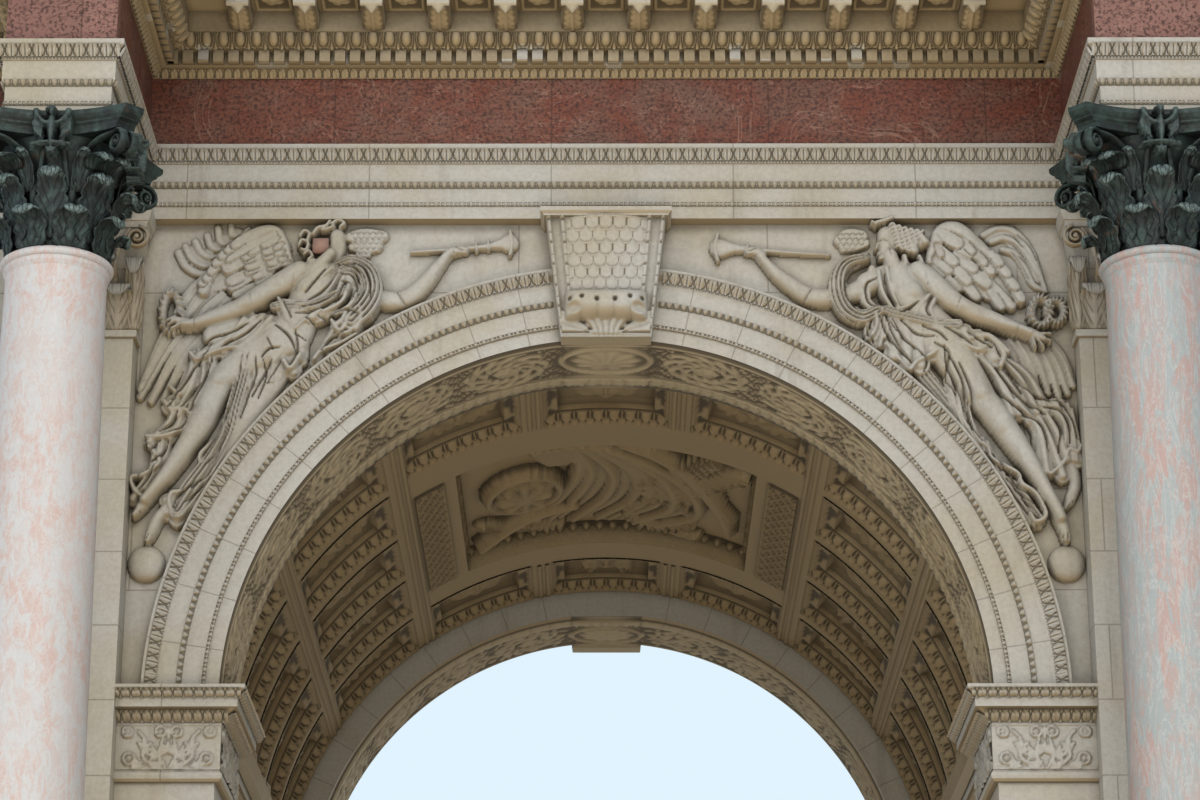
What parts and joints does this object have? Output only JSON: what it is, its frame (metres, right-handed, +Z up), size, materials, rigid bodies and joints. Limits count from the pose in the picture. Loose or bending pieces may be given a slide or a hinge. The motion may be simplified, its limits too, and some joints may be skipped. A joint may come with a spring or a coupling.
{
  "type": "triumphal arch, single bay",
  "caption": "Single-opening stone triumphal arch with a coffered vault, free-standing columns, broken-forward entablature and a plain attic",
  "frame": {"origin": "on the ground at the middle of the passage", "axes": "+Z up, the front faces -Y, +X to the right of a viewer in front"},
  "size_m": [8.902, 11.026, 14.345],
  "materials": {
    "pale_stone": "pale grey-cream limestone, weathered",
    "base_stone": "grey limestone of the basement",
    "vault_stone": "olive-brown stained limestone",
    "marble_left": "pink and white mottled marble, polished",
    "marble_right": "pink marble with pale grey veins, polished",
    "red_marble": "red-brown marble slabs with dark veins",
    "bronze": "dark green patinated bronze"
  },
  "bodies": {
    "root": {"step_left": "base_stone", "step_right": "base_stone", "basement_left": "base_stone", "basement_right": "base_stone", "pier_left": "pale_stone", "pier_right": "pale_stone", "impost_left": "pale_stone", "impost_right": "pale_stone", "spandrel_wall": "pale_stone", "vault": "vault_stone", "archivolt_front": "pale_stone", "archivolt_back": "pale_stone", "keystone_front": "pale_stone", "keystone_back": "pale_stone", "pedestal_front_left": "base_stone", "pedestal_front_right": "base_stone", "pedestal_back_left": "base_stone", "pedestal_back_right": "base_stone", "column_base_front_left": "pale_stone", "column_base_front_right": "pale_stone", "column_base_back_left": "pale_stone", "column_base_back_right": "pale_stone", "column_shaft_front_left": "marble_left", "column_shaft_front_right": "marble_right", "column_shaft_back_left": "marble_left", "column_shaft_back_right": "marble_right", "capital_front_left": "bronze", "capital_front_right": "bronze", "capital_back_left": "bronze", "capital_back_right": "bronze", "pilaster_front_left": "pale_stone", "pilaster_front_right": "pale_stone", "pilaster_back_left": "pale_stone", "pilaster_back_right": "pale_stone", "victory_front_left": "pale_stone", "victory_front_right": "pale_stone", "victory_back_left": "pale_stone", "victory_back_right": "pale_stone", "architrave": "pale_stone", "frieze": "red_marble", "cornice": "pale_stone", "modillions": "pale_stone", "attic_plinth": "pale_stone", "attic": "pale_stone", "attic_cap": "pale_stone"}
  },
  "joints": []
}
